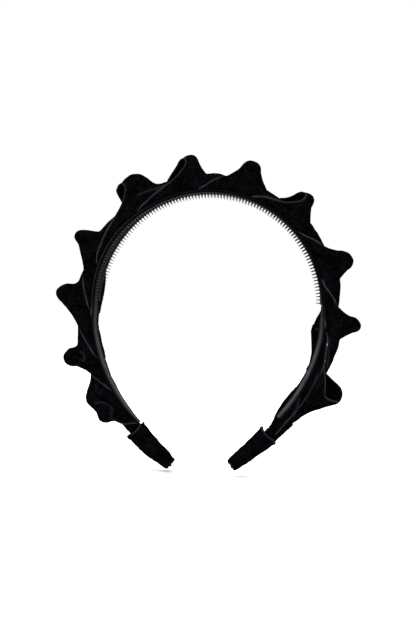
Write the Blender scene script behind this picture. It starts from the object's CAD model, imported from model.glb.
"""Visual model of a velvet-wrapped wave headband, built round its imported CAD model.

Lengths inside the shape functions are millimetres along, across and out of the band; place() turns
them into metres in the frame. A station s is counted along the hoop from the crown, plus towards
the right tip. The height h is measured outwards from the middle of the wrapped band.
"""
import math

import bmesh
import bpy
import numpy as np
from mathutils import Matrix, Vector, noise


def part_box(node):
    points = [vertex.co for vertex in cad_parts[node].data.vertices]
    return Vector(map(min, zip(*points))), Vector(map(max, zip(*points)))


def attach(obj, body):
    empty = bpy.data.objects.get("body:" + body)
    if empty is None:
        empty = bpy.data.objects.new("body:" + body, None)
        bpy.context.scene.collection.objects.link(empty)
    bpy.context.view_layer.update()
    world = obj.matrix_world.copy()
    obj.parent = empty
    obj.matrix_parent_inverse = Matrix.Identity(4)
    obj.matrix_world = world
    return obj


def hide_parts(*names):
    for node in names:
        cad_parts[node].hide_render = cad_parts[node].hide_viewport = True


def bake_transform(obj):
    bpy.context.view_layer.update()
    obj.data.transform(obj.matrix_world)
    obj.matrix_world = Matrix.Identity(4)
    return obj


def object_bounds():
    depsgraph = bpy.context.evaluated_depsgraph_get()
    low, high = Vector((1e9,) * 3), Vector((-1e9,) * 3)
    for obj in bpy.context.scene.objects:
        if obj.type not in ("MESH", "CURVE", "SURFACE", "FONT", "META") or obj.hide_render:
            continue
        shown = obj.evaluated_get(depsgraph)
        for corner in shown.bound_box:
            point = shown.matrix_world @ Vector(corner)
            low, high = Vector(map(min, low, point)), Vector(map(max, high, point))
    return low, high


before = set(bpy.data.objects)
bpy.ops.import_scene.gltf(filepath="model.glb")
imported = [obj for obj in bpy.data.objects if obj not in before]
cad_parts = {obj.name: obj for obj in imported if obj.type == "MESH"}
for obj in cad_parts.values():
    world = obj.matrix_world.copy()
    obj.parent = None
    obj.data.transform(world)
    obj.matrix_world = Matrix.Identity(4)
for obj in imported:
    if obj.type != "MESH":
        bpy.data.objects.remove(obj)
CAD_BOX = [list(corner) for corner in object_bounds()]

MM = 0.001

# The hoop's line, as in the CAD: an arc over the crown, a wider one down each side, then straight.
CROWN_RADIUS = 67.0
CHEEK_RADIUS = 93.0
CHEEK_TURN = math.radians(46.0)
QUARTER = CROWN_RADIUS * math.pi / 2
TAIL_START = QUARTER + CHEEK_RADIUS * CHEEK_TURN
CORE_TOP = 0.3
HOOP_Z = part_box("core_hoop")[1].z / MM - CROWN_RADIUS - CORE_TOP

# The inner face of the band tilts to the front. Each row is the length from the crown where a
# change starts and ends, and the change in degrees. The tilt fades out over these heights.
LEFT_TILT = (
    (30.0, 70.0, 14.0),
    (82.0, 106.0, -5.0),
    (168.0, 184.0, -9.0),
)
RIGHT_TILT = (
    (90.0, 120.0, 18.0),
    (168.0, 184.0, -18.0),
)
TILT_TOP = 4.0
TILT_BOTTOM = -3.5

# The wrapped velvet.
WRAP_HALF_WIDTH = 8.5
WRAP_TOP = 4.5
WRAP_BOTTOM = 3.4
NECK_HALF_WIDTH = 5.0
NECK_TOP = 3.9
NECK_BOTTOM = 2.5
NARROWING_START = 108.0
THINNING = (106.0, 122.0)
SLEEVE_START = 184.0
CLOTH = 0.95
GAP = 0.3

# Exponents of the wrap's cross-section: how square its inner face and its sides are, how round its
# outside is, and how fast a fold's height and lean grow towards the outside.
INNER_SQUARE = 0.25
SIDE_SQUARE = 0.8
OUTER_ROUND = 0.8
FOLD_NARROW = 1.5
FOLD_LEAN = 1.2

# Turns, left to right: station of the notch before the peak, how far the free edge runs back along
# the front, the mouth, how thin the fold is front to back, and the outline of the fold as (length
# behind the notch, height) pairs. The mouth is where the front layer of the fold is set back to show
# the back layer: how far, and between which positions round the band this starts and is full.
TURNS = (
    (-176.5, 6.0, (2.5, 0.33, 0.45), 0.5,
     ((0, 4.6), (3.8, 6.5), (5.7, 11.2), (8.3, 13.3), (11.7, 12.3), (14.5, 12.9), (19.5, 14.0),
      (24.5, 10.4), (28, 6.7), (32.5, 4.6))),
    (-144.0, 15.0, (2.0, 0.33, 0.45), 0.5,
     ((0, 4.6), (3.9, 6.9), (4.8, 10.8), (5.8, 14.4), (8.4, 17.0), (11.5, 16.8), (13.7, 13.4),
      (14.3, 8.2), (19.5, 6.7), (27, 4.8))),
    (-117.0, 22.0, (2.0, 0.33, 0.45), 0.45,
     ((0, 4.4), (5, 8.8), (9.0, 13.8), (12.7, 17.8), (15.6, 18.2), (18.2, 14.2), (19.9, 7.2),
      (25, 5.4), (31, 3.4))),
    (-86.0, 26.0, (3.0, 0.33, 0.45), 0.5,
     ((0, 3.4), (3.4, 4.2), (6.2, 6.6), (6.8, 11.8), (9, 16.8), (12.1, 17.2), (14.8, 13.2),
      (17.0, 6.4), (24, 5.0), (32, 4.1))),
    (-54.0, 31.0, (17.5, 0.22, 0.32), 0.45,
     ((0, 3.8), (3.7, 4.9), (5.5, 11.4), (7.3, 15.6), (10.2, 15.8), (14, 17.0), (17.7, 15.6),
      (20.5, 11.6), (23.8, 5.6), (29.5, 4.7))),
    (-24.5, 22.0, (15.0, 0.22, 0.31), 0.5,
     ((0, 4.7), (5.5, 9.8), (10.2, 14.6), (12.8, 15.9), (15.7, 15.2), (17.4, 9.7), (19.4, 5.8),
      (27, 5.8), (33, 4.2))),
    (8.5, 17.0, (3.0, 0.33, 0.45), 0.5,
     ((0, 4.2), (3.6, 6.3), (5.0, 12.2), (7.4, 15.5), (10.7, 15.5), (13.2, 12.8), (14.2, 7.4),
      (16.6, 4.2), (28, 3.4))),
    (36.5, 14.0, (14.0, 0.235, 0.30), 0.5,
     ((0, 3.2), (3.3, 5.7), (5.9, 10.0), (9.2, 14.3), (13.0, 14.3), (15.0, 9.4), (17.0, 5.2),
      (27, 4.8), (37.5, 4.0))),
    (74.0, 18.0, (2.0, 0.33, 0.45), 0.5,
     ((0, 3.6), (1.3, 6.8), (2.4, 12), (4.9, 15.4), (8.3, 15.6), (10.7, 12.6), (11.9, 7.2),
      (21, 5.6), (32.5, 3.4))),
    (106.5, 20.0, (2.0, 0.33, 0.45), 0.5,
     ((0, 3.4), (1.0, 6.4), (0.8, 10.6), (1.6, 14.8), (4.6, 16.7), (7.4, 14.9), (9.4, 8.0),
      (18.6, 6.8), (31.5, 5.4))),
    (138.0, 22.0, (16.5, 0.22, 0.38), 0.5,
     ((0, 5.4), (2.0, 10.2), (3.6, 15.0), (6.2, 17.4), (9.8, 17.3), (13.0, 13.8), (21.5, 7.8),
      (31, 4.8))),
)
OUTLINE_STEPS = 24
FIRST_PITCH = 12.0
LAST_EDGE = 169.0
LAST_EDGE_LEAD = 14.0
LAST_PITCH = 28.0

# A free edge climbs between these positions round the band, partly in step with the height that it
# has reached, and runs straight across the outside.
LEAD_START = 0.10
LEAD_END = 0.46
LEVEL_SHARE = 0.6
EDGE_SETTLE = 4

# A fold is thinner the higher it rises, except next to its edges. Every mouth closes at the crest.
PINCH_RISE = 12.0
PINCH_FADE = 0.12
MOUTH_CLOSE = (0.468, 0.497)
MOUTH_MIDDLE = 0.36
MOUTH_BELLY = 0.2
MOUTH_BELLY_WIDTH = 0.06
SEAM_OPENING = 0.002

# Each turn runs on under the next one, lies on the one before, and sinks where it is covered.
TUCK = 4.5
TUCK_MOUTH_SHARE = 0.6
LAY_ON = 0.65
LAY_UNDER = -0.5
LAY_LENGTH = 12.0
LAY_FADE = 3.0
LAY_LINING_SHARE = 0.25
SWELL = 0.3
SWELL_HEIGHTS = (6.0, 12.0)
END_RISE = 0.9

# Soft unevenness of the cloth, away from its free edges and its seam: depth, scale, octaves, seed.
# It grows between these lengths from the edge, and between these distances from the outside, in t.
WRINKLES = (
    (0.40, 95.0, 3, 0.0),
    (0.14, 260.0, 2, 5.0),
)
WRINKLE_FROM_EDGE = (0.5, 5.0)
WRINKLE_FROM_OUTSIDE = (0.5, 0.36)

# The pile is worn pale along free edges, less so over the crest, and along fold lines.
RIM_WIDTH = 0.5
CREST_RISE = (0.45, 0.48)
CREST_FALL = (0.52, 0.55)
CREST_UNWORN = 0.85
CREASE_WORN = 0.8
LAST_EDGE_WORN = 0.35

# Fold lines on the front of the turns: (turn, points as (station, height), strength). Turns count
# from 1 at the left, and 12 is the plain wrap past the last one.
CREASES = (
    (2, ((-132.8, 6.2), (-133.9, 4.3), (-135.8, 3.5), (-137.5, 4.4), (-137.7, 6.4)), 0.5),
    (1, ((-160, 10.2), (-161.1, 6.3), (-163.8, 3.4), (-167.6, 2.6), (-171, 6.6)), 0.5),
    (1, ((-152.1, 4), (-155.6, 5.4), (-157.4, 4), (-155.6, 1.8)), 0.35),
    (1, ((-171, 6.6), (-175, 4.1), (-180.8, 2.5)), 0.5),
    (5, ((-40.4, 3.7), (-35.7, 3.3), (-30.1, 2.2), (-25, 2.2)), 0.6),
    (10, ((121.4, 0.5), (123.1, 0.7), (128.9, 3), (133.8, 4.1)), 0.6),
    (11, ((130.3, 0.4), (136, 1.3), (142.6, 0.5), (150.2, 0.7), (158.5, 0.7), (171.3, 0.45)), 0.9),
    (12, ((159, 0.65), (165, 0.55), (171.3, 0.6), (178.5, 2)), 1.0),
)
CREASE_WIDTH = 0.32
CREASE_HEIGHT = 0.35
CREASE_RISE = (0.02, 0.08)
CREASE_FALL = (0.46, 0.5)

# Places where the back edge of the strip hangs in past the lining: station and depth. Past the
# comb it also bulges a little all along.
BACK_LOBES = (
    (-99.0, 3.0),
    (-132.0, 0.7),
    (117.5, 3.3),
    (163.0, 2.1),
)
LOBE_LENGTH = 10.5
LOBE_MIDDLE = 0.805
LOBE_WIDTH = 0.05
LEFT_BULGE = 0.5
RIGHT_BULGE = 0.9
BULGE_START = (98.0, 110.0)
BULGE_END = (172.0, 184.0)

# Core, lining and comb, each from the crown to both ends.
CORE_REACH = 208.8
CORE_HALF_WIDTH = 6.0
CORE_TIP_HALF_WIDTH = 3.4
CORE_HALF_DEPTH = 1.0
CORE_SINK = 0.7
CORE_CORNER = 0.6
CORE_CORNER_STEPS = 3
LINING_LEFT = -182.5
LINING_RIGHT = 172.0
LINING_THICKNESS = 0.5
LINING_HALF_WIDTH = 5.6
LINING_NECK_HALF_WIDTH = 3.8
LINING_TIP_HALF_WIDTH = 3.4
LINING_TAPER_START = 150.0
COMB_LEFT = -105.3
COMB_RIGHT = 101.4
COMB_THICKNESS = 0.8
COMB_TOP = -WRAP_BOTTOM - GAP - LINING_THICKNESS - GAP
COMB_FACE = COMB_TOP - COMB_THICKNESS
CORE_RINGS = 120
LINING_RINGS = 150


def smooth(value, low, high):
    """Smooth step from 0 at low to 1 at high; low may be the larger."""
    share = np.clip((np.asarray(value, float) - low) / (high - low), 0.0, 1.0)
    return share * share * (3.0 - 2.0 * share)


def mix(first, second, share):
    return first + (second - first) * share


def power(value, exponent):
    """Power that keeps the sign."""
    return np.sign(value) * np.abs(value) ** exponent


def bell(value, middle, width):
    """1 at the middle, falling off to either side."""
    return np.exp(-(((value - middle) / width) ** 2))


def mid_line(s):
    """Points of the hoop's middle line at stations s, with the direction outwards."""
    s = np.asarray(s, float)
    length = np.abs(s)
    swing = np.clip((length - QUARTER) / CHEEK_RADIUS, 0.0, CHEEK_TURN)
    turn = np.minimum(length, QUARTER) / CROWN_RADIUS + swing
    rest = np.maximum(length - TAIL_START, 0.0)
    on_crown = length <= QUARTER
    cheek_x = CROWN_RADIUS - CHEEK_RADIUS * (1.0 - np.cos(swing)) + rest * np.cos(turn)
    cheek_z = -CHEEK_RADIUS * np.sin(swing) - rest * np.sin(turn)
    x = np.where(on_crown, CROWN_RADIUS * np.sin(turn), cheek_x)
    z = np.where(on_crown, CROWN_RADIUS * np.cos(turn), cheek_z)
    side = np.where(s < 0, -1.0, 1.0)
    return side * x, z, side * np.sin(turn), np.cos(turn)


def tilt(s):
    """Angle in radians by which the inner face is turned to the front."""
    length = np.abs(s)
    left, right = (
        sum(turn * smooth(length, start, end) for start, end, turn in changes)
        for changes in (LEFT_TILT, RIGHT_TILT)
    )
    return np.radians(np.where(np.asarray(s) < 0, left, right))


def place(s, y, h):
    """Station, depth and height in millimetres to points in metres."""
    x, z, out_x, out_z = mid_line(s)
    reach = h - y * np.tan(tilt(s)) * (1.0 - smooth(h, TILT_BOTTOM, TILT_TOP))
    points = (x + out_x * reach, y * np.ones_like(x), z + out_z * reach + HOOP_Z)
    return np.stack(points, axis=-1) * MM


def narrowing(s):
    """How far the band has narrowed towards the sleeves, 0 to 1."""
    return smooth(np.abs(s), NARROWING_START, SLEEVE_START)


def past_comb(s):
    """How far the inner side of the wrap has thinned out past the comb's ends, 0 to 1."""
    return smooth(np.abs(s), *THINNING)


def wrap_bottom(s):
    return mix(WRAP_BOTTOM, NECK_BOTTOM, past_comb(s))


def notch(number):
    """Notch station of a turn, with stand-ins before the first turn and after the last."""
    if number < 0:
        return TURNS[0][0] - FIRST_PITCH
    if number < len(TURNS):
        return TURNS[number][0]
    if number == len(TURNS):
        return LAST_EDGE
    return LAST_EDGE + LAST_PITCH


def front_lead(number):
    """How far a turn's free edge runs back along the front."""
    if number < 0:
        return FIRST_PITCH / 2
    if number < len(TURNS):
        return TURNS[number][1]
    return LAST_EDGE_LEAD


def facing(t):
    """How much the band's surface at t faces outwards, and how much inwards."""
    turned = np.cos(2 * np.pi * t)
    return np.maximum(-turned, 0.0), np.maximum(turned, 0.0)


def climb(t):
    """How far a free edge has climbed from the lining (0) to the outside (1), on either face."""
    t = np.minimum(t, 1.0 - t)
    out, inwards = facing(t)
    level = WRAP_BOTTOM * (1.0 - inwards ** INNER_SQUARE) + WRAP_TOP * out ** OUTER_ROUND
    straight = np.clip((t - LEAD_START) / (LEAD_END - LEAD_START), 0.0, 1.0)
    return mix(straight, level / (WRAP_BOTTOM + WRAP_TOP), LEVEL_SHARE)


def edge_station(number, t):
    """Station of a turn's free edge at t: 0 seam, 0.25 front edge, 0.5 outside, 0.75 back edge."""
    here = notch(number)
    settled = facing(t)[0] ** EDGE_SETTLE
    back_lead = notch(number + 1) - here - front_lead(number + 1)
    lead = np.where(t < 0.5, -front_lead(number), back_lead)
    return here + lead * (1.0 - climb(t)) * (1.0 - settled)


def mouth(number, t):
    """How far the front layer is set back from the free edge, along the outline."""
    if not 0 <= number < len(TURNS):
        return np.zeros_like(t)
    depth, start, full = TURNS[number][2]
    belly = 1.0 + MOUTH_BELLY * bell(t, MOUTH_MIDDLE, MOUTH_BELLY_WIDTH)
    return depth * belly * smooth(t, start, full) * (1.0 - smooth(t, *MOUTH_CLOSE))


def smooth_outline(points):
    """Dense points of a Catmull-Rom curve through the outline, with the length up to each."""
    padded = np.array((points[0],) + points + (points[-1],), float)
    u = (np.arange(OUTLINE_STEPS) / OUTLINE_STEPS)[:, None]
    dense = []
    for a, b, c, d in zip(padded, padded[1:], padded[2:], padded[3:]):
        square = (2 * a - 5 * b + 4 * c - d) * u * u
        cube = (3 * b - 3 * c + d - a) * u ** 3
        dense.append(0.5 * (2 * b + (c - a) * u + square + cube))
    dense = np.concatenate(dense + [padded[-1:]])
    steps = np.linalg.norm(np.diff(dense, axis=0), axis=1)
    return dense, np.concatenate([[0.0], np.cumsum(steps)])


OUTLINES = [smooth_outline(turn[4]) for turn in TURNS]


def fbm(points, scale, octaves=3, seed=0.0):
    """Smooth noise at each point, in about -1..1."""
    offset = Vector((seed * 7.31, seed * 3.17, seed * 11.9))
    values = [
        noise.fractal(Vector(p) * scale + offset, 0.6, 2.0, octaves, noise_basis="PERLIN_ORIGINAL")
        for p in points.reshape(-1, 3)
    ]
    return np.array(values).reshape(points.shape[:-1])


def distance_to(line, points):
    """Distance of each point of a grid to the nearest part of a line, in the line's own units."""
    best = np.full(points.shape[:-1], np.inf)
    for a, b in zip(line, line[1:]):
        along = b - a
        share = ((points - a) * along).sum(-1) / max((along * along).sum(), 1e-12)
        nearest = a + np.clip(share, 0.0, 1.0)[..., None] * along
        best = np.minimum(best, np.linalg.norm(points - nearest, axis=-1))
    return best


def grid_normals(points):
    """Unit normal at each point of a grid, on whichever side its order gives."""
    along = np.gradient(points, axis=0)
    across = np.gradient(points, axis=1)
    normal = np.cross(along, across)
    return normal / np.maximum(np.linalg.norm(normal, axis=-1, keepdims=True), 1e-12)


def grid_object(name, points, material, rim=None, uv=None, closed_across=False):
    """A sheet from a grid of points, with a rim weight and a UV in millimetres kept on it."""
    rows, columns = points.shape[:2]
    faces = []
    spans = columns if closed_across else columns - 1
    for row in range(rows - 1):
        for column in range(spans):
            a = row * columns + column
            b = row * columns + (column + 1) % columns
            faces.append((a, b, b + columns, a + columns))
    mesh = bpy.data.meshes.new(name)
    mesh.from_pydata([tuple(v) for v in points.reshape(-1, 3)], [], faces)
    mesh.update()
    mesh.shade_smooth()
    if rim is not None:
        attribute = mesh.attributes.new("rim", "FLOAT", "POINT")
        attribute.data.foreach_set("value", rim.reshape(-1).astype(np.float32))
    if uv is not None:
        layer = mesh.uv_layers.new(name="along_across")
        loops = np.zeros(len(mesh.loops), dtype=np.int64)
        mesh.loops.foreach_get("vertex_index", loops)
        layer.data.foreach_set("uv", uv.reshape(-1, 2)[loops].astype(np.float32).reshape(-1))
    mesh.materials.append(material)
    piece = bpy.data.objects.new(name, mesh)
    bpy.context.scene.collection.objects.link(piece)
    return piece


def thicken(piece, thickness):
    """Give a sheet its thickness, inwards, and round its edges."""
    solid = piece.modifiers.new("thickness", "SOLIDIFY")
    solid.thickness = thickness * MM
    solid.offset = -1.0
    solid.use_even_offset = False
    solid.use_quality_normals = True
    rounding = piece.modifiers.new("rounding", "SUBSURF")
    rounding.levels = 1
    rounding.render_levels = 1
    return piece


def outward_shell(mesh, fill_ends=False):
    """Close a mesh's open ends if asked, and turn all its faces outwards."""
    shell = bmesh.new()
    shell.from_mesh(mesh)
    if fill_ends:
        bmesh.ops.holes_fill(shell, edges=[e for e in shell.edges if e.is_boundary], sides=0)
    bmesh.ops.recalc_face_normals(shell, faces=shell.faces)
    shell.to_mesh(mesh)
    shell.free()


# ---------------------------------------------------------------- materials

def node_tree(name):
    """A new material, its node tree and its shader."""
    material = bpy.data.materials.new(name)
    material.use_nodes = True
    tree = material.node_tree
    return material, tree, tree.nodes["Principled BSDF"]


def noise_node(tree, coordinates, scale, detail=3.0, roughness=0.6):
    """Noise of 0 to 1; the scale is per metre."""
    node = tree.nodes.new("ShaderNodeTexNoise")
    node.inputs["Scale"].default_value = scale
    node.inputs["Detail"].default_value = detail
    node.inputs["Roughness"].default_value = roughness
    tree.links.new(coordinates, node.inputs["Vector"])
    return node.outputs["Fac"]


def ramp(tree, value, low, high, first, last):
    """The value's range low..high mapped onto first..last."""
    node = tree.nodes.new("ShaderNodeMapRange")
    node.inputs["From Min"].default_value = low
    node.inputs["From Max"].default_value = high
    node.inputs["To Min"].default_value = first
    node.inputs["To Max"].default_value = last
    tree.links.new(value, node.inputs["Value"])
    return node.outputs["Result"]


def maths(tree, operation, first, second=0.0):
    node = tree.nodes.new("ShaderNodeMath")
    node.operation = operation
    for socket, value in zip(node.inputs, (first, second)):
        if isinstance(value, (int, float)):
            socket.default_value = value
        else:
            tree.links.new(value, socket)
    return node.outputs[0]


def distance_from(tree, value, middle):
    return maths(tree, "ABSOLUTE", maths(tree, "SUBTRACT", value, middle))


def mix_colour(tree, factor, first, second):
    node = tree.nodes.new("ShaderNodeMix")
    node.data_type = "RGBA"
    tree.links.new(factor, node.inputs["Factor"])
    for socket, value in ((node.inputs["A"], first), (node.inputs["B"], second)):
        if isinstance(value, tuple):
            socket.default_value = (*value, 1.0)
        else:
            tree.links.new(value, socket)
    return node.outputs["Result"]


def bump(tree, height, strength, distance, normal=None):
    node = tree.nodes.new("ShaderNodeBump")
    node.inputs["Strength"].default_value = strength
    node.inputs["Distance"].default_value = distance
    tree.links.new(height, node.inputs["Height"])
    if normal is not None:
        tree.links.new(normal, node.inputs["Normal"])
    return node.outputs["Normal"]


# Scales of the velvet's noise, per metre: the brushed clouds, the speckle and the single tufts.
NAP_SCALE = 170.0
SPECKLE_SCALE = 1400.0
PILE_SCALE = 3800.0


def make_velvet(name, dark, light, grain, rim_colour, sheen):
    """Short black pile: clouded where it is brushed, speckled, and worn pale along folded edges."""
    material, tree, shader = node_tree(name)
    coordinates = tree.nodes.new("ShaderNodeTexCoord").outputs["Object"]
    nap = noise_node(tree, coordinates, NAP_SCALE)
    speckle = noise_node(tree, coordinates, SPECKLE_SCALE, 2.0, 0.7)
    pile = noise_node(tree, coordinates, PILE_SCALE, 2.0, 0.7)
    brushed = ramp(tree, nap, 0.42, 0.72, 0.0, 1.0)
    grains = ramp(tree, speckle, 0.50, 0.75, 0.0, 1.0)
    ground = mix_colour(tree, brushed, dark, light)
    speckled = mix_colour(tree, maths(tree, "MULTIPLY", grains, 0.6), ground, grain)
    rim = tree.nodes.new("ShaderNodeAttribute")
    rim.attribute_name = "rim"
    worn = maths(tree, "MULTIPLY", rim.outputs["Fac"], ramp(tree, speckle, 0.3, 0.7, 0.55, 1.0))
    tree.links.new(mix_colour(tree, worn, speckled, rim_colour), shader.inputs["Base Color"])
    shader.inputs["Roughness"].default_value = 0.85
    shader.inputs["Specular IOR Level"].default_value = 0.0
    tree.links.new(ramp(tree, nap, 0.35, 0.75, sheen * 0.4, sheen * 1.6), shader.inputs["Sheen Weight"])
    shader.inputs["Sheen Roughness"].default_value = 0.3
    shader.inputs["Sheen Tint"].default_value = (0.72, 0.74, 0.90, 1.0)
    soft = bump(tree, nap, 0.25, 0.0006)
    tree.links.new(bump(tree, pile, 0.5, 0.00012, soft), shader.inputs["Normal"])
    return material


# The ribbon's pale streak and its woven edge, by their depth y, and the lengths from the crown
# between which the streak brightens. All in millimetres.
SATIN_MIDDLE = 0.8
SATIN_CORE = 0.3
SATIN_FADE = 3.6
SATIN_START = 96.0
SATIN_FULL = 132.0
SELVEDGE = -5.0
RIB_PITCH = 0.55


def make_satin(name, dark, light):
    """Ribbon with fine cross ribs, palest along its middle, and clouded along its length."""
    material, tree, shader = node_tree(name)
    uv = tree.nodes.new("ShaderNodeUVMap")
    uv.uv_map = "along_across"
    split = tree.nodes.new("ShaderNodeSeparateXYZ")
    tree.links.new(uv.outputs["UV"], split.inputs[0])
    along, depth = split.outputs["X"], split.outputs["Y"]
    position = tree.nodes.new("ShaderNodeTexCoord").outputs["Object"]
    cloudy = noise_node(tree, position, 220.0)
    thread = noise_node(tree, position, 2600.0, 2.0)
    ribs = maths(tree, "SINE", maths(tree, "MULTIPLY", along, 2 * math.pi / RIB_PITCH))
    streak = ramp(tree, distance_from(tree, depth, SATIN_MIDDLE), SATIN_CORE, SATIN_FADE, 1.0, 0.0)
    from_crown = maths(tree, "ABSOLUTE", along)
    streak = maths(tree, "MULTIPLY", streak, ramp(tree, from_crown, SATIN_START, SATIN_FULL, 0.25, 1.0))
    streak = maths(tree, "MULTIPLY", streak, ramp(tree, cloudy, 0.3, 0.6, 0.55, 1.0))
    woven_edge = ramp(tree, distance_from(tree, depth, SELVEDGE), 0.1, 0.4, 0.6, 0.0)
    pale = maths(tree, "MAXIMUM", streak, woven_edge)
    tree.links.new(mix_colour(tree, pale, dark, light), shader.inputs["Base Color"])
    tree.links.new(ramp(tree, thread, 0.3, 0.7, 0.35, 0.5), shader.inputs["Roughness"])
    shader.inputs["Specular IOR Level"].default_value = 0.0
    fine = bump(tree, thread, 0.3, 0.00008)
    tree.links.new(bump(tree, ribs, 0.35, 0.00012, fine), shader.inputs["Normal"])
    return material


def make_plastic(name, colour, roughness, grain):
    """Moulded plastic: slightly clouded in colour and gloss, with a fine grain."""
    material, tree, shader = node_tree(name)
    position = tree.nodes.new("ShaderNodeTexCoord").outputs["Object"]
    cloud = noise_node(tree, position, 400.0)
    fine = noise_node(tree, position, 3000.0, 2.0)
    lighter = tuple(c * 1.8 for c in colour)
    tree.links.new(mix_colour(tree, cloud, colour, lighter), shader.inputs["Base Color"])
    shader.inputs["Specular IOR Level"].default_value = 0.03
    rough = ramp(tree, cloud, 0.3, 0.7, roughness * 0.8, roughness * 1.3)
    tree.links.new(rough, shader.inputs["Roughness"])
    tree.links.new(bump(tree, fine, grain, 0.00004), shader.inputs["Normal"])
    return material


def make_thread(name, dark, light):
    """Twisted thread with pale and dark plies."""
    material, tree, shader = node_tree(name)
    position = tree.nodes.new("ShaderNodeTexCoord").outputs["Object"]
    ply = tree.nodes.new("ShaderNodeTexWave")
    ply.bands_direction = "DIAGONAL"
    ply.inputs["Scale"].default_value = 900.0
    tree.links.new(position, ply.inputs["Vector"])
    tree.links.new(mix_colour(tree, ply.outputs["Fac"], dark, light), shader.inputs["Base Color"])
    shader.inputs["Roughness"].default_value = 0.5
    tree.links.new(bump(tree, ply.outputs["Fac"], 0.5, 0.0001), shader.inputs["Normal"])
    return material


VELVET = make_velvet(
    "velvet_pile",
    dark=(0.00008, 0.00008, 0.00014),
    light=(0.0014, 0.0014, 0.0020),
    grain=(0.0080, 0.0080, 0.0096),
    rim_colour=(0.028, 0.028, 0.034),
    sheen=0.0004,
)
SATIN = make_satin("lining_weave", (0.0025, 0.0025, 0.0030), (0.050, 0.050, 0.054))
COMB = make_plastic("comb_gloss", (0.0025, 0.0025, 0.0030), 0.32, 0.15)
CORE = make_plastic("core_matte", (0.012, 0.012, 0.012), 0.5, 0.3)
THREAD = make_thread("tack_thread", (0.05, 0.05, 0.055), (0.16, 0.16, 0.17))


# ---------------------------------------------------------------- how pieces move and are declared


def follow(piece):
    """Let a piece bend with the hoop: from the crown into the arm on its side."""
    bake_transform(piece)


def sheet_area(piece):
    """Half the surface of the thickened piece, in square metres."""
    graph = bpy.context.evaluated_depsgraph_get()
    evaluated = piece.evaluated_get(graph)
    area = sum(face.area for face in evaluated.to_mesh().polygons) / 2
    evaluated.to_mesh_clear()
    return area


def dress(node):
    """Let a piece stand for a CAD node and wear one of the record's materials."""
    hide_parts(node)


def declare_strip(piece):
    """Declare a piece as a strip of cloth of this width, as long as its area makes it."""
    area = sheet_area(piece)


# ---------------------------------------------------------------- velvet turns

ROWS = 60
COLUMNS = 92
GIRTH = 52.0
EVEN_STEPS = 2001
CREST_DENSITY = 3.5
CREST_MIDDLE = 0.475
CREST_WIDTH = 0.035


def across_positions(columns):
    """Positions t round the band, closer together where the folds crest."""
    even = np.linspace(0.0, 1.0, EVEN_STEPS)
    weight = 1.0 + CREST_DENSITY * bell(even, CREST_MIDDLE, CREST_WIDTH)
    total = np.cumsum(weight)
    total = (total - total[0]) / (total[-1] - total[0])
    t = np.interp(np.linspace(0.0, 1.0, columns), total, even)
    return SEAM_OPENING + (1.0 - 2.0 * SEAM_OPENING) * t


def back_lobe(s, t):
    """How far the back edge of the strip hangs in past the lining."""
    total = sum(depth * bell(s, middle, LOBE_LENGTH) for middle, depth in BACK_LOBES)
    length = np.abs(s)
    past = smooth(length, *BULGE_START) * (1.0 - smooth(length, *BULGE_END))
    total = total + np.where(s < 0, LEFT_BULGE, RIGHT_BULGE) * past
    return total * bell(t, LOBE_MIDDLE, LOBE_WIDTH)


def velvet_grid(number, first, last, rows, columns):
    """One turn between two edges, before it is laid on the band.

    Gives stations, depths, heights and positions round the band, and the length left to its end.
    """
    t = across_positions(columns)[None, :] * np.ones((rows, 1))
    low = first(t)
    high = last(t)
    out, inwards = facing(t)
    row_share = np.linspace(0.0, 1.0, rows)[:, None]
    if 0 <= number < len(TURNS):
        dense, lengths = OUTLINES[number]
        pitch = notch(number + 1) - notch(number)
        start = mouth(number, t) / lengths[-1]
        tail = (TUCK + TUCK_MOUTH_SHARE * mouth(number + 1, t)) / pitch
        share = start + (1.0 + tail - start) * row_share
        inside = np.minimum(share, 1.0)
        along = np.interp(inside * lengths[-1], lengths, dense[:, 0])
        height = np.interp(inside * lengths[-1], lengths, dense[:, 1])
        s = mix(low, high, share)
        rise = height - mix(WRAP_TOP, NECK_TOP, narrowing(s))
        s = s + (along - inside * pitch) * out ** FOLD_LEAN
        settle = smooth(share, 0.0, PINCH_FADE) * (1.0 - smooth(share, 1.0 - PINCH_FADE, 1.0))
        pinch = TURNS[number][3] * settle * np.maximum(rise, 0.0) / PINCH_RISE * out * out
    else:
        tail = TUCK / np.maximum(high - low, 1.0) if number < 0 else 0.0
        share = (1.0 + tail) * row_share * np.ones_like(t)
        s = mix(low, high, share)
        rise = np.full_like(s, END_RISE)
        pinch = np.zeros_like(s)
    to_end = (1.0 + tail - share) * (high - low)
    tight = narrowing(s)
    half_width = mix(WRAP_HALF_WIDTH, NECK_HALF_WIDTH, tight)
    y = -half_width * power(np.sin(2 * np.pi * t), SIDE_SQUARE) * (1.0 - pinch)
    upper = mix(WRAP_TOP, NECK_TOP, tight) * out ** OUTER_ROUND + rise * out ** FOLD_NARROW
    lower = -wrap_bottom(s) * inwards ** INNER_SQUARE - back_lobe(s, t)
    h = np.where(out > 0, upper, lower)
    return s, y, h, t, to_end


def crease_field(number, s, h, t):
    """Weight of the fold lines drawn on the front of a turn."""
    total = np.zeros_like(s)
    on_front = smooth(t, *CREASE_RISE) * (1.0 - smooth(t, *CREASE_FALL))
    for turn, line, strength in CREASES:
        if turn == number + 1:
            away = distance_to(np.array(line, float), np.stack([s, h], axis=-1))
            total = np.maximum(total, strength * bell(away, 0.0, CREASE_WIDTH))
    return total * on_front


def laying(from_edge, to_end, t):
    """How far the cloth stands out where it lies on the turn before, less where it is covered."""
    lay = LAY_ON * (1.0 - smooth(from_edge, 0.0, LAY_LENGTH))
    lay = lay + LAY_UNDER * (1.0 - smooth(to_end, 0.0, TUCK + LAY_FADE))
    return lay * mix(1.0, LAY_LINING_SHARE, facing(t)[1] ** 0.5)


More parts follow.
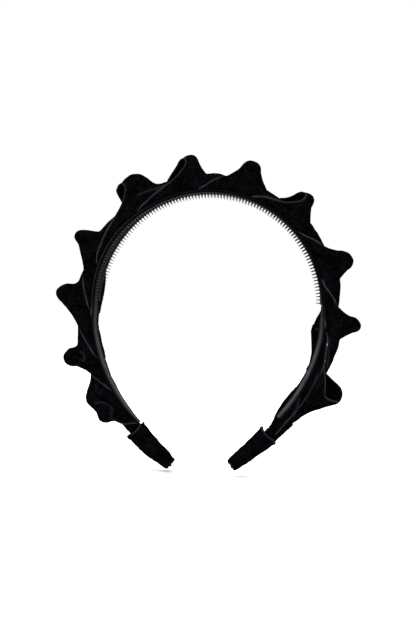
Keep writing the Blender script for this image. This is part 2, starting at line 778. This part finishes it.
def wrinkling(number, points, from_edge, t):
    """Soft unevenness of the cloth, in millimetres."""
    free = smooth(from_edge, *WRINKLE_FROM_EDGE) * smooth(np.abs(t - 0.5), *WRINKLE_FROM_OUTSIDE)
    return free * sum(
        depth * fbm(points, scale, octaves, number + seed) for depth, scale, octaves, seed in WRINKLES
    )


def wear(number, from_edge, crease, t):
    """How pale the pile is worn, 0 to 1."""
    crest = smooth(t, *CREST_RISE) * (1.0 - smooth(t, *CREST_FALL))
    edge = bell(from_edge, 0.0, RIM_WIDTH) * (1.0 - CREST_UNWORN * crest)
    if number == len(TURNS):
        edge = edge * LAST_EDGE_WORN
    return np.maximum(edge, CREASE_WORN * crease)


def make_turn(name, number, first, last, rows=ROWS, columns=COLUMNS):
    """One turn of velvet between two free edges, with its own thickness."""
    s, y, h, t, to_end = velvet_grid(number, first, last, rows, columns)
    points = place(s, y, h)
    normal = grid_normals(points)
    outward = np.sign((normal * (points - place(s, y * 0.0, h * 0.0))).sum(-1).mean())
    normal = normal * outward
    if number < 0:
        from_edge = np.full_like(s, LAY_LENGTH)
    else:
        from_edge = distance_to(points[0], points) / MM
    crease = crease_field(number, s, h, t)
    shift = laying(from_edge, to_end, t) + wrinkling(number, points, from_edge, t)
    shift = shift + CREASE_HEIGHT * crease + SWELL * smooth(h, *SWELL_HEIGHTS)
    points = points + normal * (shift * MM)[..., None]
    uv = np.stack([s, t * GIRTH], axis=-1)
    piece = grid_object(name, points, VELVET, rim=wear(number, from_edge, crease, t), uv=uv)
    if outward > 0:
        piece.data.flip_normals()
    return thicken(piece, CLOTH)


for number in range(len(TURNS)):
    piece = make_turn(
        f"velvet_fold_{number + 1:02d}",
        number,
        first=lambda t, number=number: edge_station(number, t),
        last=lambda t, number=number: edge_station(number + 1, t),
    )
    dress(f"velvet_turn_{number + 1:02d}")
    follow(piece)
    declare_strip(piece)

WRAP_END = 187.5
END_ROWS = 44
END_COLUMNS = 120

end_left = make_turn(
    "velvet_end_left",
    -1,
    first=lambda t: np.full_like(t, -WRAP_END),
    last=lambda t: edge_station(0, t),
    rows=END_ROWS,
    columns=END_COLUMNS,
)
end_right = make_turn(
    "velvet_end_right",
    len(TURNS),
    first=lambda t: edge_station(len(TURNS), t),
    last=lambda t: np.full_like(t, WRAP_END),
    rows=END_ROWS,
    columns=END_COLUMNS,
)
for piece, side in ((end_left, "left"), (end_right, "right")):
    dress(f"{side}_end_wrap")
    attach(piece, f"{side}_arm")
    declare_strip(piece)


# ---------------------------------------------------------------- core, lining and comb

def bar(name, s_values, section, material):
    """Closed bar through the sections (y, h) given at each station."""
    rings = np.array([section(s) for s in s_values])
    s = np.repeat(np.array(s_values)[:, None], rings.shape[1], axis=1)
    points = place(s, rings[..., 0], rings[..., 1])
    uv = np.stack([s, rings[..., 0]], axis=-1)
    piece = grid_object(name, points, material, uv=uv, closed_across=True)
    outward_shell(piece.data, fill_ends=True)
    return piece


def rounded(half_width, half_depth, corner, steps):
    """Points (y, h) of a rectangle with round corners."""
    points = []
    for number, (side_y, side_h) in enumerate(((1, 1), (-1, 1), (-1, -1), (1, -1))):
        for step in range(steps + 1):
            angle = math.pi / 2 * (number + step / steps)
            y = side_y * (half_width - corner) + corner * math.cos(angle)
            h = side_h * (half_depth - corner) + corner * math.sin(angle)
            points.append((y, h))
    return points


def core_section(s):
    half = float(mix(CORE_HALF_WIDTH, CORE_TIP_HALF_WIDTH, narrowing(s)))
    middle = float(-CORE_SINK * (1.0 - narrowing(s)))
    outline = rounded(half, CORE_HALF_DEPTH, CORE_CORNER, CORE_CORNER_STEPS)
    return [(y, h + middle) for y, h in outline]


# The ribbon's woven edge: its width, how far it swells out sideways and inwards, and how far its
# outer side turns up against the velvet.
LIP_WIDTH = 0.35
LIP_SIDE = 0.12
LIP_SWELL = 0.06
LIP_ROUND = 0.02
LIP_LIFT = 0.3
LIP_LIFT_WIDTH = 0.6
RIBBON_SAG = 0.05


def lining_section(s):
    """Thin ribbon with a raised woven edge along each side."""
    half = mix(LINING_HALF_WIDTH, LINING_NECK_HALF_WIDTH, past_comb(s))
    half = float(mix(half, LINING_TIP_HALF_WIDTH, smooth(abs(s), LINING_TAPER_START, SLEEVE_START)))
    top = float(-wrap_bottom(s) - GAP)
    low = top - LINING_THICKNESS
    lifted = top + LIP_LIFT
    outer = [(half + LIP_SIDE, (top + low) / 2), (half, lifted), (half - LIP_LIFT_WIDTH, lifted)]
    inner = [(half - 2 * LIP_WIDTH, low), (half - LIP_WIDTH, low - LIP_SWELL), (half, low + LIP_ROUND)]
    far_outer = [(-y, h) for y, h in reversed(outer)]
    far_inner = [(-y, h) for y, h in reversed(inner)]
    return outer + [(0.0, top)] + far_outer + far_inner + [(0.0, low - RIBBON_SAG)] + inner


def between(first, last, count):
    """Even stations in rising order, whichever end is named first."""
    return np.linspace(min(first, last), max(first, last), count)


for side, arm, reach in ((-1, "left", LINING_LEFT), (1, "right", LINING_RIGHT)):
    core = bar(f"core_{arm}", between(0.0, side * CORE_REACH, CORE_RINGS), core_section, CORE)
    dress("core_hoop")
    follow(core)
    lining = bar(f"lining_{arm}", between(0.0, reach, LINING_RINGS), lining_section, SATIN)
    dress("lining_ribbon")
    follow(lining)


# One comb tooth: depth below the strip's face, and its half sizes along and across the band.
TOOTH = (
    (0.35, 0.70, 0.72),
    (0.0, 0.46, 0.66),
    (-0.5, 0.30, 0.58),
    (-1.7, 0.22, 0.42),
    (-2.2, 0.17, 0.28),
    (-2.35, 0.08, 0.12),
)
TOOTH_PITCH = 1.95
TOOTH_SIDES = 8
TOOTH_ROW = 2.9
TOOTH_SQUARE = 0.7

# The strip between the teeth: a channel between two rails, crossed by low rungs. The rungs are given
# by their half length along the band and their height, at their face and at their foot.
COMB_HALF_WIDTH = 3.6
COMB_SIDE = 0.15
RAIL_INSIDE = 2.2
CHANNEL_HALF_WIDTH = 2.0
CHANNEL_DEPTH = 0.3
RUNG_HALF_WIDTH = 2.1
RUNG = (
    (0.3, 0.0),
    (0.4, 0.5),
)


def comb_section(s):
    """Strip with a raised rail along each side, the same at every station s."""
    channel = COMB_FACE + CHANNEL_DEPTH
    side = COMB_HALF_WIDTH + COMB_SIDE
    middle = COMB_TOP - COMB_THICKNESS / 2
    return [
        (COMB_HALF_WIDTH, COMB_TOP), (-COMB_HALF_WIDTH, COMB_TOP),
        (-side, middle), (-COMB_HALF_WIDTH, COMB_FACE),
        (-RAIL_INSIDE, COMB_FACE), (-CHANNEL_HALF_WIDTH, channel),
        (CHANNEL_HALF_WIDTH, channel), (RAIL_INSIDE, COMB_FACE),
        (COMB_HALF_WIDTH, COMB_FACE), (side, middle),
    ]


def tooth_mesh(s, row, first):
    """Points and faces of one tapered tooth; first is the number its first point gets."""
    vertices = []
    for depth, size_s, size_y in TOOTH:
        for step in range(TOOTH_SIDES):
            angle = 2 * math.pi * (step + 0.5) / TOOTH_SIDES
            along = np.array(s + size_s * power(math.cos(angle), TOOTH_SQUARE))
            across = row + size_y * power(math.sin(angle), TOOTH_SQUARE)
            vertices.append(tuple(place(along, across, COMB_FACE + depth)))
    faces = []
    for ring in range(len(TOOTH) - 1):
        for step in range(TOOTH_SIDES):
            a = first + ring * TOOTH_SIDES + step
            b = first + ring * TOOTH_SIDES + (step + 1) % TOOTH_SIDES
            faces.append((a, b, b + TOOTH_SIDES, a + TOOTH_SIDES))
    last = first + (len(TOOTH) - 1) * TOOTH_SIDES
    faces.append(tuple(last + step for step in range(TOOTH_SIDES)))
    faces.append(tuple(first + step for step in reversed(range(TOOTH_SIDES))))
    return vertices, faces


def rung_mesh(s, first):
    """Points and faces of the low rung that joins two teeth across the strip."""
    vertices = []
    for half, height in RUNG:
        for along, across in ((-1, -1), (1, -1), (1, 1), (-1, 1)):
            station = np.array(s + along * half)
            vertices.append(tuple(place(station, across * RUNG_HALF_WIDTH, COMB_FACE + height)))
    sides = ((0, 1, 2, 3), (7, 6, 5, 4), (0, 4, 5, 1), (1, 5, 6, 2), (2, 6, 7, 3), (3, 7, 4, 0))
    faces = [tuple(first + corner for corner in side) for side in sides]
    return vertices, faces


def comb_half(name, end):
    """Strip with two rows of teeth, from the crown to one end."""
    low, high = min(0.0, end), max(0.0, end)
    count = round((high - low) / TOOTH_PITCH)
    piece = bar(name, np.linspace(low, high, count * 2 + 1), comb_section, COMB)
    vertices = [tuple(v.co) for v in piece.data.vertices]
    faces = [tuple(f.vertices) for f in piece.data.polygons]
    for number in range(count):
        s = low + (number + 0.5) * (high - low) / count
        for row in (-TOOTH_ROW, TOOTH_ROW):
            tooth_vertices, tooth_faces = tooth_mesh(s, row, len(vertices))
            vertices += tooth_vertices
            faces += tooth_faces
        rung_vertices, rung_faces = rung_mesh(s, len(vertices))
        vertices += rung_vertices
        faces += rung_faces
    mesh = bpy.data.meshes.new(name)
    mesh.from_pydata(vertices, [], faces)
    mesh.update()
    outward_shell(mesh)
    mesh.materials.append(COMB)
    mesh.shade_smooth()
    piece.data = mesh
    return piece


for side, arm, end in ((-1, "left", COMB_LEFT), (1, "right", COMB_RIGHT)):
    comb = comb_half(f"comb_{arm}", end)
    dress("comb_strip")
    follow(comb)


# ---------------------------------------------------------------- sleeves and tacks

# Outer and inner height of each sleeve at stations along it, from its mouth to its tip.
SLEEVES = {
    "left": (
        (183.8, 6.6, -4.4),
        (191.0, 7.0, -4.0),
        (198.0, 6.1, -3.9),
        (205.0, 4.7, -3.7),
        (211.4, 2.9, -3.2),
    ),
    "right": (
        (182.2, 5.9, -5.4),
        (190.0, 5.5, -4.8),
        (198.0, 4.7, -4.5),
        (205.0, 3.9, -4.4),
        (208.8, 3.1, -3.8),
    ),
}
SLEEVE_HALF_WIDTH = 6.4
SLEEVE_TIP_HALF_WIDTH = 5.3
SLEEVE_SQUARE = 0.7
SLEEVE_ROWS = 72
SLEEVE_COLUMNS = 76
SLEEVE_GIRTH_RADIUS = 5.0
SLEEVE_CLOTH = 0.9

# Shares of a sleeve's length, from its mouth to its end: where the tip is reached, over which stretch
# the raw end turns in, and over which stretches the mouth and the tip run unevenly.
TIP_SHARE = 0.93
TUCK_SPAN = (0.90, 1.0)
TUCK_BACK_SPAN = (0.94, 1.0)
TUCK_BACK = 1.6
TUCK_NARROW = 0.5
TUCK_FLATTEN = 0.8
UNEVEN_MOUTH_SPAN = (0.0, 0.3)
UNEVEN_MOUTH = 1.6
UNEVEN_MOUTH_SCALE = 1.3
UNEVEN_MOUTH_SEED = 3.0
UNEVEN_TIP_SPAN = (0.72, 0.93)
UNEVEN_TIP = 1.5
UNEVEN_TIP_SCALE = 2.2
UNEVEN_TIP_SEED = 4.0

# The rolled hem: its place, its width and its height. Then the creases, as in WRINKLES.
HEM_SHARE = 0.03
HEM_WIDTH = 0.028
HEM_HEIGHT = 0.55
SLEEVE_WRINKLES = (
    (0.42, 130.0, 3, 40.0),
    (0.14, 420.0, 2, 50.0),
)
SMOOTH_TUCK = 0.6

# The pile is worn pale round the mouth, and less so round the tip.
WORN_MOUTH_WIDTH = 0.016
WORN_TIP_WIDTH = 0.02
WORN_TIP = 0.5


# Rows of a sleeve's grid between its hem and its tuck, and one of them to read its facing from.
PLAIN_ROWS = slice(5, -12)
PROBE_ROW = 10


def ring_noise(angles, size, seed):
    """Noise round a ring, the same where it meets itself."""
    return np.array([
        noise.noise(Vector((math.cos(a) * size, math.sin(a) * size, seed))) for a in angles
    ])[None, :]


def make_sleeve(arm, side):
    """Velvet tube over the end of the hoop: rolled hem at the mouth, raw end tucked in at the tip."""
    stations, outer, inner = (np.array(column) for column in zip(*SLEEVES[arm]))
    share = np.linspace(0.0, 1.0, SLEEVE_ROWS)[:, None] * np.ones((1, SLEEVE_COLUMNS))
    around = np.linspace(0.0, 2 * np.pi, SLEEVE_COLUMNS, endpoint=False)
    angle = around[None, :] * np.ones((SLEEVE_ROWS, 1))
    tucked = smooth(share, *TUCK_SPAN)
    length = stations[0] + (stations[-1] - stations[0]) * np.minimum(share / TIP_SHARE, 1.0)
    high = np.interp(length, stations, outer)
    low = np.interp(length, stations, inner)
    width = mix(SLEEVE_HALF_WIDTH, SLEEVE_TIP_HALF_WIDTH, share) * (1.0 - TUCK_NARROW * tucked)
    half = (high - low) / 2 * (1.0 - TUCK_FLATTEN * tucked)
    y = -width * power(np.sin(angle), SLEEVE_SQUARE)
    h = (high + low) / 2 - half * power(np.cos(angle), SLEEVE_SQUARE)
    at_tip = smooth(share, *UNEVEN_TIP_SPAN) * UNEVEN_TIP
    at_mouth = (1.0 - smooth(share, *UNEVEN_MOUTH_SPAN)) * UNEVEN_MOUTH
    length = length + at_tip * ring_noise(around, UNEVEN_TIP_SCALE, side * UNEVEN_TIP_SEED)
    length = length + at_mouth * ring_noise(around, UNEVEN_MOUTH_SCALE, side * UNEVEN_MOUTH_SEED)
    length = length - TUCK_BACK * smooth(share, *TUCK_BACK_SPAN)
    points = place(side * length, y, h)
    centre = place(side * length, y * 0.0, (high + low) / 2)
    normal = grid_normals(points)
    normal = normal * np.sign((normal * (points - centre))[PLAIN_ROWS].sum(-1).mean())
    creased = sum(
        depth * fbm(points, scale, octaves, seed + side)
        for depth, scale, octaves, seed in SLEEVE_WRINKLES
    )
    swell = HEM_HEIGHT * bell(share, HEM_SHARE, HEM_WIDTH) + creased * (1.0 - SMOOTH_TUCK * tucked)
    points = points + normal * (swell * MM)[..., None]
    rim = np.maximum(bell(share, 0.0, WORN_MOUTH_WIDTH), WORN_TIP * bell(share, TIP_SHARE, WORN_TIP_WIDTH))
    uv = np.stack([length, angle * SLEEVE_GIRTH_RADIUS], axis=-1)
    piece = grid_object(f"sleeve_{arm}", points, VELVET, rim=rim, uv=uv, closed_across=True)
    probe = piece.data.polygons[SLEEVE_COLUMNS * PROBE_ROW]
    if probe.normal.dot(probe.center - Vector(centre[PROBE_ROW, 0])) < 0:
        piece.data.flip_normals()
    thicken(piece, SLEEVE_CLOTH)
    dress(f"{arm}_sleeve")
    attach(piece, f"{arm}_arm")
    declare_strip(piece)


make_sleeve("left", -1.0)
make_sleeve("right", 1.0)

for node in ("right_tack_upper", "right_tack_lower"):
    for material_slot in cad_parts[node].material_slots:
        material_slot.material = THREAD


# ---------------------------------------------------------------- room, light and camera

FLOOR = 6.0
FLOOR_DROP = 0.002
AIM = Vector((0.0, 0.0, HOOP_Z * MM))

# Name, kind, place, strength and size of each lamp.
LIGHTS = (
    ("overhead", "SUN", (0.05, -0.1, 1.0), 0.6, 1.0),
    ("key", "AREA", (-0.45, -0.55, 0.55), 7.0, 0.5),
    ("fill", "AREA", (0.6, -0.5, 0.1), 2.5, 0.6),
    ("top", "AREA", (0.0, 0.15, 0.7), 5.0, 0.5),
)


def pale_floor():
    """Wide pale sheet just under the tips."""
    level = CAD_BOX[0][2] - FLOOR_DROP
    corners = ((-FLOOR, -FLOOR), (FLOOR, -FLOOR), (FLOOR, FLOOR), (-FLOOR, FLOOR))
    mesh = bpy.data.meshes.new("floor")
    mesh.from_pydata([(x, y, level) for x, y in corners], [], [(0, 1, 2, 3)])
    material, _, shader = node_tree("pale_floor")
    shader.inputs["Base Color"].default_value = (0.93, 0.93, 0.93, 1.0)
    shader.inputs["Roughness"].default_value = 0.9
    shader.inputs["Specular IOR Level"].default_value = 0.0
    mesh.materials.append(material)
    floor = bpy.data.objects.new("floor", mesh)
    bpy.context.scene.collection.objects.link(floor)


def light(name, kind, location, strength, size):
    """Area lamp (size in metres) or sun (size as its spread in radians), aimed at the band."""
    data = bpy.data.lights.new(name, kind)
    data.energy = strength
    if kind == "SUN":
        data.angle = size
    else:
        data.shape = "DISK"
        data.size = size
    lamp = bpy.data.objects.new(name, data)
    lamp.location = location
    lamp.rotation_euler = (AIM - Vector(location)).to_track_quat("-Z", "Y").to_euler()
    bpy.context.scene.collection.objects.link(lamp)


pale_floor()
world = bpy.data.worlds.new("studio")
world.use_nodes = True
background = world.node_tree.nodes["Background"]
background.inputs["Color"].default_value = (1.0, 1.0, 1.0, 1.0)
background.inputs["Strength"].default_value = 1.0
bpy.context.scene.world = world
bpy.context.scene.view_settings.view_transform = "Standard"
for lamp_settings in LIGHTS:
    light(*lamp_settings)

# The picture is VIEW_WIDTH wide at the band, seen from CAMERA_DISTANCE. The camera is moved to the
# right and up by the two lengths below, in metres.
VIEW_WIDTH = 0.2288
CAMERA_DISTANCE = 0.46
CAMERA_YAW = math.radians(6.0)
CAMERA_ROLL = math.radians(2.9)
CAMERA_RIGHT = 0.0003
CAMERA_UP = -0.0035
SENSOR = 36.0

toward = Vector((math.sin(CAMERA_YAW), -math.cos(CAMERA_YAW), 0.0))
level = Vector((math.cos(CAMERA_YAW), math.sin(CAMERA_YAW), 0.0))
plumb = Vector((0.0, 0.0, 1.0))
right = level * math.cos(CAMERA_ROLL) + plumb * math.sin(CAMERA_ROLL)
up = plumb * math.cos(CAMERA_ROLL) - level * math.sin(CAMERA_ROLL)
camera_data = bpy.data.cameras.new("camera")
camera_data.sensor_fit = "HORIZONTAL"
camera_data.sensor_width = SENSOR
camera_data.lens = SENSOR * CAMERA_DISTANCE / VIEW_WIDTH
camera_data.clip_start = 0.01
camera = bpy.data.objects.new("camera", camera_data)
bpy.context.scene.collection.objects.link(camera)
camera.location = AIM + toward * CAMERA_DISTANCE + right * CAMERA_RIGHT + up * CAMERA_UP
camera.rotation_euler = Matrix(tuple(zip(right, up, toward))).to_euler()
bpy.context.scene.camera = camera
